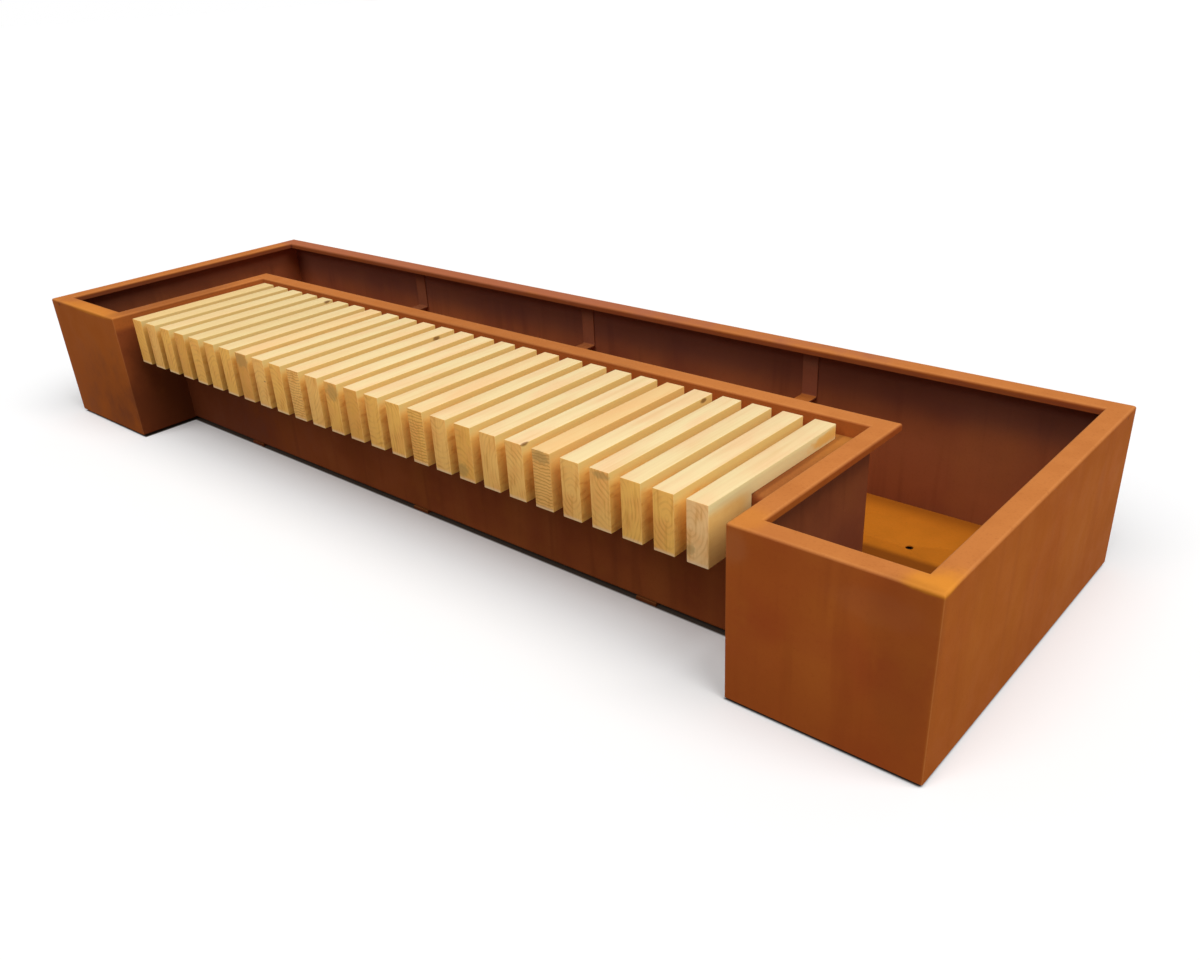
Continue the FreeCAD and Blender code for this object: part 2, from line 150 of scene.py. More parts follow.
def add_node(tree, kind, sockets=None, **settings):
    """Add a node with its settings; a socket takes a value or another node's output."""
    node = tree.nodes.new(kind)
    for name, value in settings.items():
        setattr(node, name, value)
    for name, value in (sockets or {}).items():
        if isinstance(value, bpy.types.NodeSocket):
            tree.links.new(value, node.inputs[name])
        else:
            node.inputs[name].default_value = value
    return node


# Sockets of the Mix node when it mixes colours.
MIX_FACTOR, MIX_FIRST, MIX_SECOND, MIX_RESULT = 0, 6, 7, 2


def new_material(name):
    """Start an empty material and give it with its node tree and surface shader."""
    material = bpy.data.materials.new(name)
    material.use_nodes = True
    tree = material.node_tree
    tree.nodes.clear()
    shader = add_node(tree, "ShaderNodeBsdfPrincipled")
    add_node(tree, "ShaderNodeOutputMaterial", {"Surface": shader.outputs["BSDF"]})
    return material, tree, shader


def lay_coats(tree, ground, coats):
    """Lay coats over a ground colour, each where its field rises from low to high."""
    skin = colour(ground)
    for field, low, high, strength, tint in coats:
        share = add_node(tree, "ShaderNodeMapRange", {
            "Value": field,
            "From Min": low,
            "From Max": high,
            "To Max": strength,
        }, interpolation_type="SMOOTHSTEP").outputs["Result"]
        skin = add_node(tree, "ShaderNodeMix", {
            MIX_FACTOR: share,
            MIX_FIRST: skin,
            MIX_SECOND: colour(tint),
        }, data_type="RGBA").outputs[MIX_RESULT]
    return skin


def noise_fields(tree, place, layers):
    """Draw the noise fields of a material, by name, from their sizes in millimetres."""
    fields = {}
    for name, (size, stretch, detail, decay) in layers.items():
        drawn = add_node(tree, "ShaderNodeMapping", {"Vector": place, "Scale": stretch})
        fields[name] = add_node(tree, "ShaderNodeTexNoise", {
            "Vector": drawn.outputs["Vector"],
            "Scale": per_metre(size),
            "Detail": detail,
            "Roughness": decay,
        }).outputs["Fac"]
    return fields


# A spot is full up to the first distance and gone at the second, both counted in its
# reaches. Noise of the third strength is added to the distance, for a ragged edge.
SPOT_FULL, SPOT_GONE, SPOT_RAGGED = 0.7, 1.6, 0.9


def near_spot(tree, place, spot, reach, edge):
    """Say how near a point is to a spot: 1 in its middle, 0 outside its ragged edge."""
    off = add_node(tree, "ShaderNodeVectorMath", {0: place, 1: spot}, operation="SUBTRACT")
    shrunk = add_node(tree, "ShaderNodeVectorMath", {
        0: off.outputs["Vector"],
        1: reach,
    }, operation="DIVIDE")
    far = add_node(tree, "ShaderNodeVectorMath", {
        0: shrunk.outputs["Vector"],
    }, operation="LENGTH")
    ragged = add_node(tree, "ShaderNodeMath", {
        0: edge,
        1: SPOT_RAGGED,
        2: far.outputs["Value"],
    }, operation="MULTIPLY_ADD")
    return add_node(tree, "ShaderNodeMapRange", {
        "Value": ragged.outputs[0],
        "From Min": SPOT_FULL,
        "From Max": SPOT_GONE,
        "To Min": 1.0,
        "To Max": 0.0,
    }, interpolation_type="SMOOTHSTEP").outputs["Result"]


# Marks that lie at one place of the steel: where, how far they reach, how strong.
# Young rust is yellower, on the rim by the corners of the arms.
YOUNG_RUST = [
    ((END_X - 0.015, FRONT_Y, WALL_TOP), (0.09, 0.12, 0.012), 0.55),
    ((CHEEK_X + 0.02, FRONT_Y + 0.04, WALL_TOP), (0.07, 0.07, 0.01), 0.2),
    ((-CHEEK_X - 0.2, FRONT_Y, WALL_TOP), (0.3, 0.08, 0.015), 0.3),
]
# Paler, greyer clouds under the rim of the right arm's front: a painted sheen.
PAINTED_SHEEN_PATCHES = [
    ((CHEEK_X + 0.02, FRONT_Y, WALL_TOP - 0.05), (0.05, 0.1, 0.06), 0.14),
    ((END_X - 0.13, FRONT_Y, WALL_TOP - 0.08), (0.13, 0.1, 0.05), 0.07),
]
# Darker places: an arm's front corner and the rims round the seat are darker, and painted
# shade lies in the seat's corner by the left cheek at the foot of its walls, on the inside
# of the back, at the foot of the recess wall under the slats' tails and on the deck by the
# last slat.
DARK_AND_SHADED_PLACES = [
    ((END_X - 0.06, FRONT_Y, WALL_TOP - 0.15), (0.11, 0.03, 0.32), 0.2),
    ((-CHEEK_X, SKIRT_Y, WALL_FOOT + 0.08), (0.75, 0.35, 0.36), 0.75),
    ((1.0, BACK_Y - SHEET, WALL_TOP - 0.12), (0.45, 0.05, 0.15), 0.25),
    ((-CHEEK_X - RIM / 2, -0.3, WALL_TOP), (0.06, 0.35, 0.012), 0.36),
    ((0, RECESS_Y + RIM / 2, WALL_TOP), (1.0, 0.05, 0.012), 0.16),
    ((-0.2, RECESS_Y, DECK_TOP + 0.03), (1.7, 0.012, 0.03), 0.22),
    ((SEAT_END_X + 0.004, -0.25, DECK_TOP), (0.014, 0.5, 0.02), 0.4),
]
# The lips that hang in the trough's shade are browner.
SHADED_LIPS = [
    ((0, BACK_Y - RIM, WALL_TOP - 0.014), (4.0, 0.012, 0.01), 0.46),
    ((RIM - END_X, 0, WALL_TOP - 0.014), (0.012, 4.0, 0.01), 0.55),
]
# The rim at the back is redder, as rust is that stays moist.
MOIST_RIM = [
    ((-0.9, BACK_Y - RIM / 2, WALL_TOP), (2.4, 0.08, 0.013), 0.9),
]
# A redder cloud on the front of the right arm.
RED_CLOUD = [
    ((CHEEK_X + 0.1, FRONT_Y, WALL_TOP - 0.12), (0.2, 0.1, 0.16), 0.3),
]
# Later marks cover earlier ones.
MARKS = (
    (RED_CLOUD, "#963C18"), (YOUNG_RUST, "#EC9826"), (PAINTED_SHEEN_PATCHES, "#B87C54"),
    (DARK_AND_SHADED_PLACES, "#5A2812"), (SHADED_LIPS, "#5A2825"), (MOIST_RIM, "#A66042"),
)


def rusted_steel(name, ground, red, pale, dark, skyward, wall_washes=(), level_washes=()):
    """Weathering steel: rolled sheet left to rust until the patina is tight.

    It gives a matt orange brown with cloudy redder and paler patches, rain runs
    down the upright faces, a fine grain, and paler bends, partly rubbed wear and partly
    a painted highlight. Faces that lie level have a colour of their own, skyward. A
    wash tints the steel gradually along one axis: the axis, where it starts and is
    full, its strength and its colour. Wall washes lie under the skyward colour, and
    level washes over it.
    """
    material, tree, shader = new_material(name)
    coordinates = add_node(tree, "ShaderNodeTexCoord")
    place = coordinates.outputs["Object"]
    # The grain of the rust is finer than a millimetre, and the speckle is drawn coarser
    # so that it shows.
    fields = noise_fields(tree, place, {
        "clouds": (420, (1, 1, 1.4), 3, 0.55),
        "patches": (95, (1, 1, 0.8), 4, 0.6),
        "runs": (38, (1, 1, 0.07), 2, 0.5),
        "broad_runs": (170, (1, 1, 0.12), 1, 0.5),
        "speckle": (7, (1, 1, 1), 2, 0.6),
    })
    facing = add_node(tree, "ShaderNodeSeparateXYZ", {0: coordinates.outputs["Normal"]})
    where = add_node(tree, "ShaderNodeSeparateXYZ", {0: place})
    worn_and_highlighted = add_node(tree, "ShaderNodeAttribute", attribute_name="rubbed_and_highlighted").outputs["Fac"]
    coats = [
        (fields["clouds"], 0.42, 0.68, 0.75, red),
        (fields["broad_runs"], 0.45, 0.7, 0.35, pale),
        (fields["patches"], 0.5, 0.72, 0.3, pale),
        (fields["runs"], 0.52, 0.75, 0.3, dark),
    ]
    coats += [(where.outputs[axis], *wash) for axis, *wash in wall_washes]
    coats.append((facing.outputs["Z"], 0.3, 0.95, 0.88, skyward))
    coats += [(where.outputs[axis], *wash) for axis, *wash in level_washes]
    coats += [
        # Rounded bends are paler: partly rubbed wear, partly a painted highlight.
        (worn_and_highlighted, 0.2, 1.0, 0.25, "#CE8A50"),
        (fields["patches"], 0.42, 0.7, 0.12, dark),
        (fields["speckle"], 0.5, 0.8, 0.2, dark),
    ]
    for spots, tint in MARKS:
        for spot, reach, strength in spots:
            near = near_spot(tree, place, spot, reach, fields["patches"])
            coats.append((near, 0, 1, strength, tint))
    tree.links.new(lay_coats(tree, ground, coats), shader.inputs["Base Color"])

    relief = add_node(tree, "ShaderNodeBump", {
        "Height": fields["speckle"],
        "Distance": 0.25 * MM,
        "Strength": 0.6,
    })
    tree.links.new(relief.outputs["Normal"], shader.inputs["Normal"])
    dull = add_node(tree, "ShaderNodeMapRange", {
        "Value": fields["patches"],
        "From Min": 0.35,
        "From Max": 0.7,
        "To Min": 0.74,
        "To Max": 0.92,
    })
    tree.links.new(dull.outputs["Result"], shader.inputs["Roughness"])
    shader.inputs["Specular IOR Level"].default_value = 0.08
    return material


# A streak of resin yellows the last slat's side, towards the back.
RESIN_STREAK, RESIN_REACH = (SEAT_END_X, 0.02, DECK_TOP + 0.02), (0.02, 0.13, 0.02)

# What each slat keeps on its points for the pine: tones from 0 to 1, and places. Its
# glow is how much light its sides get from its neighbours.
SLAT_TONES = ("warm", "aged", "glow", "pale", "deep", "sawn")
SLAT_PLACES = ("pith", "stain_at", "stain_reach", "knot_at", "knot_reach")


def wave_scale(spacing_mm):
    """Give the wave texture's scale for lines at a real spacing in millimetres."""
    units_to_a_wave = math.tau / 20
    return units_to_a_wave / (spacing_mm * MM)


def pine_patterns(tree, log):
    """Draw what the wood of a log shows, by name, round its pith line.

    Fibre, pores, rings and saw lines are finer on real pine, and are drawn as
    coarse as they need to show.
    """
    patterns = noise_fields(tree, log, {
        "fibre": (1.6, (1, 0.02, 1), 3, 0.6),
        "pores": (2.2, (1, 1, 1), 2, 0.6),
        "cloud": (60, (1, 0.3, 1), 2, 0.5),
        "streak": (22, (1, 0.06, 1), 2, 0.5),
        "fade": (45, (1, 1, 1), 1, 0.5),
        "ragged": (14, (1, 0.4, 1), 2, 0.5),
        "end_streak": (9, (1, 1, 0.12), 2, 0.5),
    })
    # Growth rings, wider up and down a slat than across it.
    drawn_log = add_node(tree, "ShaderNodeMapping", {"Vector": log, "Scale": (1, 0.08, 0.6)})
    patterns["rings"] = add_node(tree, "ShaderNodeTexWave", {
        "Vector": drawn_log.outputs["Vector"],
        "Scale": wave_scale(10),
        "Distortion": 8.0,
        "Detail": 2,
        "Detail Scale": 0.4,
        "Detail Roughness": 0.55,
    }, wave_type="RINGS", rings_direction="Y").outputs["Fac"]
    # The band saw leaves wavy lines across an end.
    patterns["saw_lines"] = add_node(tree, "ShaderNodeTexWave", {
        "Vector": log,
        "Scale": wave_scale(9),
        "Distortion": 6.0,
        "Detail": 2,
        "Detail Scale": 0.8,
    }, wave_type="BANDS", bands_direction="Z").outputs["Fac"]
    return patterns


def slat_faces(tree, normal, where):
    """Say, by name, how much a point of a slat lies on an end or on a side."""
    straight = add_node(tree, "ShaderNodeVectorMath", {0: normal}, operation="ABSOLUTE")
    facing = add_node(tree, "ShaderNodeSeparateXYZ", {0: straight.outputs["Vector"]})
    faces = {}
    for name, axis, full in (
        ("end", "Y", 1.0), ("half_end", "Y", 0.5), ("quarter_end", "Y", 0.25),
        ("side", "X", 1.0),
    ):
        faces[name] = add_node(tree, "ShaderNodeMapRange", {
            "Value": facing.outputs[axis],
            "From Min": 0.6,
            "From Max": 0.9,
            "To Max": full,
        }).outputs["Result"]
    # Between two noses the light is thrown to and fro and comes out yellower, the more
    # so below their top edges.
    low_side = add_node(tree, "ShaderNodeMapRange", {
        "Value": where.outputs["Z"],
        "From Min": NOSE_TOP - 4 * MM,
        "From Max": NOSE_TOP - 45 * MM,
        "To Max": faces["side"],
    }, interpolation_type="SMOOTHSTEP").outputs["Result"]
    faces["between_noses"] = add_node(tree, "ShaderNodeMapRange", {
        "Value": where.outputs["Y"],
        "From Min": SKIRT_Y + 20 * MM,
        "From Max": SKIRT_Y - 50 * MM,
        "To Max": low_side,
    }).outputs["Result"]
    return faces


def planed_pine():
    """Planed pine, oiled lightly: pale sapwood with wide growth rings.

    The rings run round the pith line of each slat's own log, so the ends show
    arcs and the sides and top show long grain lines.
    """
    material, tree, shader = new_material("planed_pine")
    coordinates = add_node(tree, "ShaderNodeTexCoord")
    place = coordinates.outputs["Object"]
    where = add_node(tree, "ShaderNodeSeparateXYZ", {0: place})
    kept = {
        name: add_node(tree, "ShaderNodeAttribute", attribute_name=name).outputs[output]
        for names, output in ((SLAT_TONES, "Fac"), (SLAT_PLACES, "Vector"))
        for name in names
    }
    log = add_node(tree, "ShaderNodeVectorMath", {
        0: place,
        1: kept["pith"],
    }, operation="SUBTRACT").outputs["Vector"]
    faces = slat_faces(tree, coordinates.outputs["Normal"], where)
    fields = kept | pine_patterns(tree, log) | faces

    # The rings stand out in some parts of an end and are planed faint in others.
    ring_show = add_node(tree, "ShaderNodeMapRange", {
        "Value": fields["fade"],
        "From Min": 0.4,
        "From Max": 0.75,
        "To Max": fields["half_end"],
    }).outputs["Result"]
    # Each of these holds where both of its fields do. A side that glows less stands in
    # the open and is paler.
    for name, one, other in (
        ("glowing_side", "glow", "side"), ("aged_side", "aged", "glowing_side"),
        ("mottle", "glow", "between_noses"), ("sawn_end", "sawn", "half_end"),
        ("pale_end", "pale", "end"), ("deep_end", "deep", "end"),
    ):
        fields[name] = add_node(tree, "ShaderNodeMath", {
            0: fields[one],
            1: fields[other],
        }, operation="MULTIPLY").outputs[0]
    stain, knot, resin = (
        near_spot(tree, place, spot, reach, fields["ragged"])
        for spot, reach in (
            (kept["stain_at"], kept["stain_reach"]),
            (kept["knot_at"], kept["knot_reach"]),
            (RESIN_STREAK, RESIN_REACH),
        )
    )
    height = where.outputs["Z"]
    wood = lay_coats(tree, "#EFD8A4", [
        (fields["cloud"], 0.35, 0.7, 0.75, "#F0C694"),
        (fields["streak"], 0.45, 0.75, 0.32, "#DFB67A"),
        (fields["aged"], 0.0, 1.0, 1.0, "#DCC184"),
        (fields["side"], 0.0, 1.0, 1.0, "#FBE7A8"),
        (fields["glowing_side"], 0.0, 1.0, 1.0, "#F0CA78"),
        (fields["aged_side"], 0.0, 1.0, 0.8, "#D8C486"),
        (fields["between_noses"], 0.0, 1.0, 0.7, "#FFBE58"),
        (fields["ragged"], 0.45, 0.72, fields["mottle"], "#E8A54C"),
        (fields["aged_side"], 0.0, 1.0, fields["between_noses"], "#C8923C"),
        (fields["end"], 0.0, 1.0, 1.0, "#FFC15E"),
        (fields["pale_end"], 0.0, 1.0, 1.0, "#FFCE8E"),
        (fields["deep_end"], 0.0, 1.0, 1.0, "#E09A40"),
        (fields["cloud"], 0.4, 0.7, fields["half_end"], "#F4A656"),
        (fields["end_streak"], 0.5, 0.75, fields["half_end"], "#D08C34"),
        (fields["rings"], 0.55, 1.0, 0.08, "#D9A05C"),
        (fields["rings"], 0.4, 1.0, ring_show, "#CC8638"),
        (fields["fibre"], 0.45, 0.8, 0.12, "#DDAE6C"),
        (fields["pores"], 0.5, 0.8, fields["quarter_end"], "#D39440"),
        (fields["warm"], 0.0, 1.0, 1.0, "#EDB060"),
        (fields["saw_lines"], 0.5, 1.0, fields["sawn_end"], "#B06E28"),
        (stain, 0.0, 1.0, 0.5, "#A0814C"),
        (resin, 0.0, 1.0, 0.75, "#F4B748"),
        (knot, 0.0, 1.0, 0.8, "#7A4A1C"),
        # The foot of an end catches light from the ground.
        (height, NOSE_FOOT + 12 * MM, NOSE_FOOT + 3 * MM, fields["half_end"], "#FFDCB8"),
    ])
    tree.links.new(wood, shader.inputs["Base Color"])
    relief = add_node(tree, "ShaderNodeBump", {
        "Height": fields["fibre"],
        "Distance": 0.3 * MM,
        "Strength": 0.25,
    })
    tree.links.new(relief.outputs["Normal"], shader.inputs["Normal"])
    shader.inputs["Roughness"].default_value = 0.65
    shader.inputs["Specular IOR Level"].default_value = 0.15
    return material


def zinc_steel():
    """Zinc plated steel of the wood screws: a grey metal, dulled by handling."""
    material, tree, shader = new_material("zinc_plated_steel")
    place = add_node(tree, "ShaderNodeTexCoord").outputs["Object"]
    spangle = noise_fields(tree, place, {"spangle": (3, (1, 1, 1), 2, 0.5)})["spangle"]
    tint = lay_coats(tree, "#A9A9A4", [(spangle, 0.4, 0.7, 0.8, "#8C8C88")])
    tree.links.new(tint, shader.inputs["Base Color"])
    shader.inputs["Metallic"].default_value = 1.0
    shader.inputs["Roughness"].default_value = 0.42
    return material


# The trough is one steel with several tones: its outside and rim, the sides and foot of
# the seat, the deck, the trough's inside, the braces, and the floor. Some of them carry
# painted shade and painted light, as said at each.
OUTSIDE_STEEL = rusted_steel(
    "weathering_steel", "#AE5A20", "#A0471E", "#B86826", "#8E4018", "#C97D3F",
    wall_washes=[
        ("Z", WALL_TOP - 0.16, WALL_FOOT, 0.5, "#964218"),
        ("Z", WALL_TOP - 0.1, WALL_TOP - 0.04, 0.3, "#9D4D1C"),
        ("X", END_X / 2, -END_X, 0.75, "#8C420C"),
        ("X", END_X - BEND, END_X, 0.35, "#C8742A"),
    ],
    level_washes=[("X", CHEEK_X, -CHEEK_X, 0.4, "#AE6228")],
)
# The seat's sides and foot are darker than the outside: partly a darker patina, partly
# painted shade under the seat.
SEAT_SIDE_STEEL = rusted_steel(
    "weathering_steel_seat_side", "#8A4520", "#733319", "#9A5526", "#5E2A12", "#A86832",
    wall_washes=[("Z", WALL_TOP - 0.06, WALL_TOP - 0.035, 0.75, "#B8662A")],
    level_washes=[("Z", WALL_FOOT + 4 * MM, WALL_FOOT - 0.5 * MM, 0.6, "#42200F")],
)
# The deck and skirt are darker again: partly a darker patina, partly painted shade under the
# rims and slats, deepest towards the left arm.
DECK_STEEL = rusted_steel(
    "weathering_steel_deck", "#8E4720", "#773519", "#9E5726", "#602B12", "#A2622F",
    wall_washes=[("X", 0.5, -0.4, 0.4, "#6A2C0A")],
    level_washes=[("Y", -0.2, RECESS_Y, 0.7, "#C07E36")],
)
TROUGH_TONES = ("#965230", "#7C402A", "#A66034", "#64301C", "#B05C2C")
TROUGH_SIDE_STEEL = rusted_steel(
    "weathering_steel_trough_side", *TROUGH_TONES,
    # Painted shade darkens the walls upwards under the rim, and painted light makes the top,
    # just under the lip, paler.
    wall_washes=[
        ("Z", WALL_TOP - 0.13, WALL_TOP - 0.08, 0.25, "#50302A"),
        ("Z", WALL_TOP - 0.1, WALL_TOP - 0.05, 0.7, "#9C5A40"),
        ("X", END_X - 0.44, END_X - 0.2, 0.35, "#903818"),
    ],
)
TROUGH_BACK_STEEL = rusted_steel(
    "weathering_steel_trough_back", *TROUGH_TONES,
    # Painted shade darkens the back wall in a band under the rim, and painted light makes
    # the top, just under the lip, paler.
    wall_washes=[
        ("Z", WALL_TOP - 0.2, WALL_TOP - 0.1, 0.6, "#503230"),
        ("Z", WALL_TOP - 0.09, WALL_TOP - 0.05, 0.75, "#865444"),
    ],
)
BRACE_STEEL = rusted_steel(
    "weathering_steel_brace", "#91523A", "#82442E", "#A0603F", "#6C3624", "#C4702C",
    wall_washes=[("Z", WALL_TOP - 0.1, WALL_TOP - 0.04, 0.7, "#A87258")],
    level_washes=[("X", 1.1, -0.7, 0.9, "#844B31")],
)
FLOOR_STEEL = rusted_steel(
    "weathering_steel_floor_with_painted_shade", "#E07F1B", "#B66019", "#DF8D26", "#985417", "#DB801F",
    # The floor's front lies in a painted shadow of the trough's front wall, and the floor is
    # darker along the back wall.
    level_washes=[
        ("Y", BACK_Y - 0.275, BACK_Y - 0.308, 0.8, "#80400F"),
        ("Y", BACK_Y - 0.09, BACK_Y - 0.01, 0.45, "#80400F"),
    ],
)
PINE = planed_pine()
ZINC = zinc_steel()


# The trough walls.

def outline_corners():
    """Give the corners of the trough's outline, anticlockwise from the left arm's front."""
    return [
        (-END_X, FRONT_Y), (-CHEEK_X, FRONT_Y), (-CHEEK_X, RECESS_Y), (CHEEK_X, RECESS_Y),
        (CHEEK_X, FRONT_Y), (END_X, FRONT_Y), (END_X, BACK_Y), (-END_X, BACK_Y),
    ]


def wall_reaches(point):
    """Say how far inside each wall's outer face a point lies, by the wall's name."""
    side = "left" if point.x < 0 else "right"
    cheek, recess = abs(point.x) - CHEEK_X, point.y - RECESS_Y
    by_seat = f"{side}_cheek" if cheek > recess else "recess_back"
    return {
        f"{side}_front": point.y - FRONT_Y,
        f"{side}_end": END_X - abs(point.x),
        "back": BACK_Y - point.y,
        by_seat: max(cheek, recess),
    }


def depth_inside(point):
    """Say how far a point lies inside the trough's outline."""
    return min(wall_reaches(point).values())


def wall_at(point):
    """Name the wall that a point belongs to, with the mitre planes as borders."""
    reaches = wall_reaches(point)
    return min(reaches, key=reaches.get)


def loop_edges(bm, level, depth):
    """Find the level edges that run round the trough at a depth inside its outline."""
    return [
        edge for edge in bm.edges
        if all(close(v.co.z, level) and close(depth_inside(v.co), depth) for v in edge.verts)
    ]


def corner_chains(bm):
    """Find the edges that run up the outward corners and over the bend of the rim."""
    outward = [corner for corner in outline_corners() if corner[1] != RECESS_Y]

    def on_corner(vertex, x, y):
        dx, dy = abs(vertex.co.x - x), abs(vertex.co.y - y)
        above = max(0, vertex.co.z - (WALL_TOP - BEND))
        on_bend = abs(math.hypot(BEND - dx, above) - BEND) < NEAR
        return close(dx, dy) and dx < BEND + NEAR and on_bend

    return [
        edge for edge in bm.edges
        if any(all(on_corner(v, x, y) for v in edge.verts) for x, y in outward)
    ]


def walls_ring():
    """Fold the whole ring of walls, rim and lip before it is parted into panels."""
    bm = bmesh.new()
    top = bm.faces.new([bm.verts.new((x, y, WALL_TOP)) for x, y in outline_corners()])
    bm.normal_update()
    bmesh.ops.inset_region(
        bm, faces=[top], thickness=RIM, use_even_offset=True, use_boundary=True,
    )
    lip_edges = list(top.edges)
    bmesh.ops.delete(bm, geom=[top], context="FACES_ONLY")
    wall_edges = [e for e in bm.edges if e.is_boundary and e not in lip_edges]
    for edges, drop in ((wall_edges, WALL_TOP - WALL_FOOT), (lip_edges, LIP)):
        fold = bmesh.ops.extrude_edge_only(bm, edges=edges)["geom"]
        verts = [item for item in fold if isinstance(item, bmesh.types.BMVert)]
        bmesh.ops.translate(bm, verts=verts, vec=(0, 0, -drop))
    bm.normal_update()
    bmesh.ops.solidify(bm, geom=bm.faces[:], thickness=SHEET)

    # Each bend is rounded outside and inside about one centre.
    for level, depth, radius in (
        (WALL_TOP, 0, BEND),
        (WALL_TOP - SHEET, SHEET, BEND - SHEET),
        (WALL_TOP, RIM, BEND),
        (WALL_TOP - SHEET, RIM - SHEET, BEND - SHEET),
    ):
        bevel(bm, loop_edges(bm, level, depth), radius, segments=6)
    bevel(bm, corner_chains(bm), CORNER_GRIND, segments=4)
    # Nothing of the rounding stands out past the bench's ends, front and back.
    for vertex in bm.verts:
        vertex.co.x = min(max(vertex.co.x, -END_X), END_X)
        vertex.co.y = min(max(vertex.co.y, FRONT_Y), BACK_Y)
    return bm


def dress_wall(bm, name):
    """Give the faces of a panel their steel: 0 outside and rim, 1 trough, 2 seat side."""
    by_seat = "cheek" in name or "recess" in name
    for face in bm.faces:
        centre = face.calc_center_median()
        depth = depth_inside(centre)
        if depth > RIM - BEND or centre.z > WALL_TOP - SHEET / 2:
            face.material_index = 0
        elif depth > SHEET / 2:
            face.material_index = 1
        elif by_seat and centre.z < WALL_TOP - BEND:
            face.material_index = 2


def wall_panels():
    """Part the ring at its mitres into the eight panels, each closed at its ends."""
    ring = walls_ring()
    names = sorted({wall_at(face.calc_center_median()) for face in ring.faces})
    for name in names:
        bm = ring.copy()
        others = [f for f in bm.faces if wall_at(f.calc_center_median()) != name]
        bmesh.ops.delete(bm, geom=others, context="FACES")
        bmesh.ops.edgeloop_fill(bm, edges=[e for e in bm.edges if e.is_boundary])
        bmesh.ops.recalc_face_normals(bm, faces=bm.faces[:])
        dress_wall(bm, name)
        inside = TROUGH_BACK_STEEL if name == "back" else TROUGH_SIDE_STEEL
        steel = [OUTSIDE_STEEL, inside, SEAT_SIDE_STEEL]
        make_piece(f"{name}_folded_wall", bm, steel, [f"{name}_panel"])
    ring.free()


# The other steel parts.

def softened_copy(node, material, size):
    """Copy a CAD node with its edges softened, as flame or shear cut steel has them."""
    bm = bmesh.new()
    bm.from_mesh(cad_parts[node].data)
    bmesh.ops.remove_doubles(bm, verts=bm.verts[:], dist=NEAR)
    bmesh.ops.dissolve_limit(
        bm, angle_limit=math.radians(1), verts=bm.verts[:], edges=bm.edges[:],
    )
    bevel(bm, sharp_edges(bm), size, segments=2)
    make_piece(f"{node}_steel", bm, [material], [node])


def steel_fittings():
    """Dress the floors, deck, braces, ribs and bearers."""
    for node in ("back_floor", "left_floor", "right_floor"):
        softened_copy(node, FLOOR_STEEL, PLATE_EDGE)
    softened_copy("seat_deck", DECK_STEEL, PLATE_EDGE)
    for node in sorted(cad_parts):
        if node.endswith("_brace"):
            softened_copy(node, BRACE_STEEL, BAR_EDGE)
        elif node.endswith("_bearer") or node.startswith("deck_rib"):
            softened_copy(node, SEAT_SIDE_STEEL, BAR_EDGE)


# The timber slats.

# What sets some slats apart, by number. Places are millimetres right and up from the
# middle of the nose. A stain's second pair is its reach, and a knot's third number is
# how far back it lies on the top.
PITHS = {
    16: (-80, -40), 20: (75, -30), 22: (0, -95), 23: (4, -10),
    24: (30, 100), 25: (-62, 10), 26: (10, 12), 27: (-18, 10),
}
WARM_SLATS = {1: 0.25, 8: 0.3, 11: 0.2, 14: 0.15, 16: 0.15, 17: 0.25, 22: 0.45}
SAWN_SLATS = (11, 17, 22)
PALE_ENDS = (2, 9, 11, 12, 18, 20, 21, 22, 23, 24)
DEEP_ENDS = {4: 0.4, 6: 0.15, 8: 0.8, 13: 0.3, 14: 0.6, 15: 0.25, 19: 0.35}
STAINS = {
    8: ((0, 58), (50, 34)), 13: ((6, 50), (38, 34)), 19: ((-16, -50), (32, 30)),
    22: ((0, 64), (42, 24)), 24: ((6, 68), (34, 14)), 27: ((-20, -44), (18, 18)),
}
KNOTS = {
    5: (28, 78, 520), 9: (22, 10, 0), 12: (30, 72, 466), 21: (30, 80, 12), 23: (30, 72, 505),
}
# The slats before this one are yellower, the more so towards the left end.
YELLOWED_END = 13
# How deep a stain goes, and how far a knot on the top or on the end of a slat reaches.
STAIN_DEPTH = 8
TOP_KNOT, END_KNOT = Vector((8, 18, 8)), Vector((8, 18, 3))
# A slat without a stain or a knot keeps one far below the ground instead.
FAR_AWAY, ANY_REACH = Vector((0, 0, -9)), Vector((1, 1, 1))


def slat_traits(number, nose, chance):
    """Say what one slat keeps for the pine: its log's pith, its tones and its marks."""
    anywhere = (chance.uniform(-60, 60), chance.choice((-1, 1)) * chance.uniform(50, 160))
    pith_x, pith_z = PITHS.get(number, anywhere)
    to_left = max(0, YELLOWED_END - number) / YELLOWED_END
    pale = 0.32 if number in PALE_ENDS else chance.uniform(0, 0.15)
    is_last = number == SLAT_COUNT
    traits = {
        "pith": nose + Vector((pith_x, 0, pith_z)) * MM,
        "warm": WARM_SLATS.get(number, chance.uniform(0, 0.1)),
        "aged": 0.6 * to_left + chance.uniform(0, 0.25),
        "glow": 0.15 if is_last else chance.uniform(0.85, 1),
        "pale": 0.9 if is_last else pale,
        "deep": 0.2 * to_left + DEEP_ENDS.get(number, 0),
        "sawn": float(number in SAWN_SLATS),
        "stain_at": FAR_AWAY,
        "stain_reach": ANY_REACH,
        "knot_at": FAR_AWAY,
        "knot_reach": ANY_REACH,
    }
    if number in STAINS:
        (x, z), (wide, high) = STAINS[number]
        traits["stain_at"] = nose + Vector((x, 0, z)) * MM
        traits["stain_reach"] = Vector((wide, STAIN_DEPTH, high)) * MM
    if number in KNOTS:
        x, z, back = KNOTS[number]
        traits["knot_at"] = nose + Vector((x, back, z)) * MM
        traits["knot_reach"] = (TOP_KNOT if back else END_KNOT) * MM
    return traits


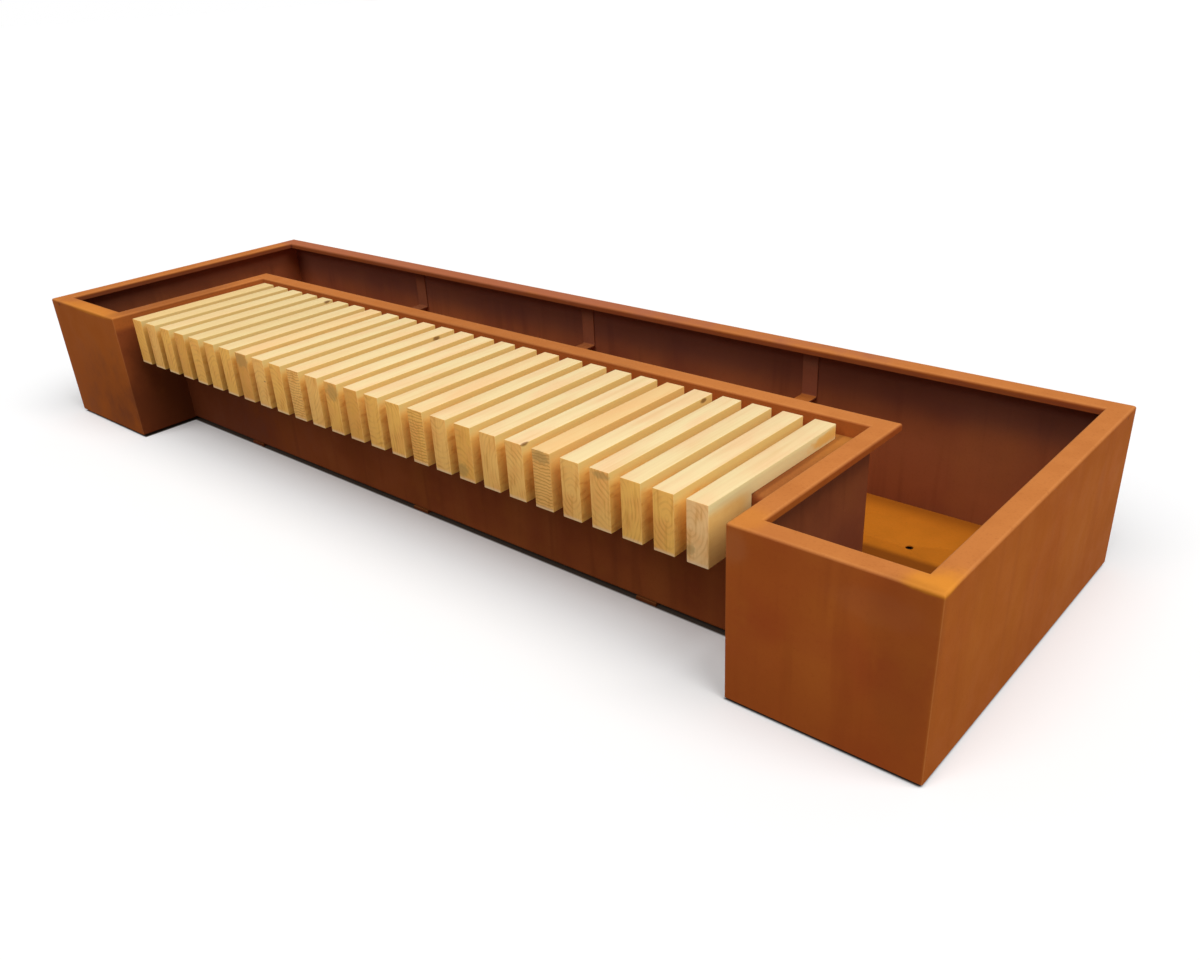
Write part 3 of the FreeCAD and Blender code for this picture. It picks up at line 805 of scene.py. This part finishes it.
def notched_slat(low, high):
    """Cut one slat to its box: a tall nose in front of the skirt, and a tail on the deck."""
    notch_y = SKIRT_Y - NOTCH_PLAY
    outline = [
        (low.y, low.z), (notch_y, low.z), (notch_y, DECK_TOP),
        (high.y, DECK_TOP), (high.y, high.z), (low.y, high.z),
    ]
    bm = bmesh.new()
    side = bm.faces.new([bm.verts.new((low.x, y, z)) for y, z in outline])
    grown = bmesh.ops.extrude_face_region(bm, geom=[side])["geom"]
    verts = [item for item in grown if isinstance(item, bmesh.types.BMVert)]
    bmesh.ops.translate(bm, verts=verts, vec=(high.x - low.x, 0, 0))
    bmesh.ops.recalc_face_normals(bm, faces=bm.faces[:])
    bevel(bm, sharp_edges(bm), SLAT_EDGE, segments=3)
    return bm


def slats():
    """Make the notched pine slats, each cut from a log of its own."""
    chance = random.Random(27)
    for number in range(1, SLAT_COUNT + 1):
        node = f"slat_{number:02d}"
        low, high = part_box(node)
        piece = make_piece(f"{node}_pine", notched_slat(low, high), [PINE], [node])
        nose = Vector(((low.x + high.x) / 2, low.y, (low.z + high.z) / 2))
        for name, value in slat_traits(number, nose, chance).items():
            keep_on_points(piece, name, value)


def dress_screws():
    """Give the screws under the seat their zinc."""
    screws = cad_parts["slat_screws"]
    screws.data.materials.clear()
    screws.data.materials.append(ZINC)


# The room: a pale floor, soft light and the camera.

# How far the floor reaches each way, and over how far the shade on it fades.
FLOOR_HALF = 60
SHADE_EDGE = 8 * MM


def seen_directly(tree):
    """Say whether the eye sees a surface, straight or in a mirror or through glass."""
    rays = add_node(tree, "ShaderNodeLightPath")
    seen = rays.outputs["Is Camera Ray"]
    for kind in ("Is Glossy Ray", "Is Transmission Ray"):
        seen = add_node(tree, "ShaderNodeMath", {
            0: seen,
            1: rays.outputs[kind],
        }, operation="MAXIMUM").outputs[0]
    return seen


def inside_box(tree, where, reach_x, reach_y, share):
    """Keep a share inside a box on the ground and let it go to nothing outside."""
    for axis, ends in (("X", reach_x), ("Y", reach_y)):
        for end, inwards in zip(ends, (1, -1)):
            share = add_node(tree, "ShaderNodeMapRange", {
                "Value": where.outputs[axis],
                "From Min": end,
                "From Max": end + SHADE_EDGE * inwards,
                "To Max": share,
            }).outputs["Result"]
    return share


def pale_floor():
    """Lay a wide pale floor that keeps the shadow, and is darker to what it lights."""
    bm = bmesh.new()
    bmesh.ops.create_grid(bm, x_segments=1, y_segments=1, size=FLOOR_HALF)
    mesh = bpy.data.meshes.new("pale_floor")
    bm.to_mesh(mesh)
    bm.free()
    material, tree, shader = new_material("pale_floor")
    seen = seen_directly(tree)
    # No light gets to the ground under the bench, which shows through its drain holes.
    # The ground in front of the skirt, between the arms, is open to it.
    place = add_node(tree, "ShaderNodeTexCoord").outputs["Object"]
    where = add_node(tree, "ShaderNodeSeparateXYZ", {0: place})
    bench = inside_box(tree, where, (-END_X, END_X), (FRONT_Y, BACK_Y), seen)
    recess = inside_box(tree, where, (-CHEEK_X, CHEEK_X), (2 * FRONT_Y, SKIRT_Y), seen)
    tint = lay_coats(tree, "#6A6A68", [
        (seen, 0.0, 1.0, 1.0, "#F8F8F8"),
        (bench, 0.0, 1.0, 1.0, "#453A32"),
        (recess, 0.0, 1.0, 1.0, "#F8F8F8"),
    ])
    tree.links.new(tint, shader.inputs["Base Color"])
    shader.inputs["Roughness"].default_value = 0.9
    shader.inputs["Specular IOR Level"].default_value = 0.1
    mesh.materials.append(material)
    floor = bpy.data.objects.new("pale_floor", mesh)
    scene.collection.objects.link(floor)


def add_sun(name, azimuth, elevation, strength, softness):
    """Add a soft far light; azimuth is the side it comes from, 0 at the front."""
    data = bpy.data.lights.new(name, "SUN")
    data.energy = strength * math.pi
    data.angle = math.radians(softness)
    lamp = bpy.data.objects.new(name, data)
    lamp.rotation_euler = (math.radians(90 - elevation), 0, math.radians(azimuth))
    scene.collection.objects.link(lamp)


def white_world(strength):
    """Light from all round, with white behind the bench."""
    world = bpy.data.worlds.new("studio")
    world.use_nodes = True
    tree = world.node_tree
    tree.nodes.clear()
    level = add_node(tree, "ShaderNodeMapRange", {
        "Value": seen_directly(tree),
        "To Min": strength,
        "To Max": 1.0,
    })
    light = add_node(tree, "ShaderNodeBackground", {
        "Color": colour("#FFFFFF"),
        "Strength": level.outputs["Result"],
    })
    add_node(tree, "ShaderNodeOutputWorld", {"Surface": light.outputs["Background"]})
    scene.world = world


def add_camera():
    """Stand the camera in front of the right arm, looking back over the seat."""
    data = bpy.data.cameras.new("camera")
    data.sensor_width = 36
    data.lens = 31.34
    data.shift_x, data.shift_y = -0.0070, 0.0347
    data.clip_end = 2 * FLOOR_HALF
    camera = bpy.data.objects.new("camera", data)
    # The place and turn at which the steel's corners fall where the photograph has them.
    place = Vector((2406.5, -2132.9, 1491.2)) * MM
    turn, tilt, roll = (math.radians(angle) for angle in (41.73, 61.94, -2.94))
    camera.matrix_world = (
        Matrix.Translation(place) @ Matrix.Rotation(turn, 4, "Z")
        @ Matrix.Rotation(tilt, 4, "X") @ Matrix.Rotation(roll, 4, "Z")
    )
    scene.collection.objects.link(camera)
    scene.camera = camera


wall_panels()
steel_fittings()
slats()
dress_screws()
pale_floor()
add_sun("right_softbox", azimuth=88, elevation=53, strength=0.62, softness=45)
add_sun("front_softbox", azimuth=0, elevation=53, strength=0.49, softness=45)
white_world(strength=0.21)
add_camera()

scene.view_settings.view_transform = "Standard"
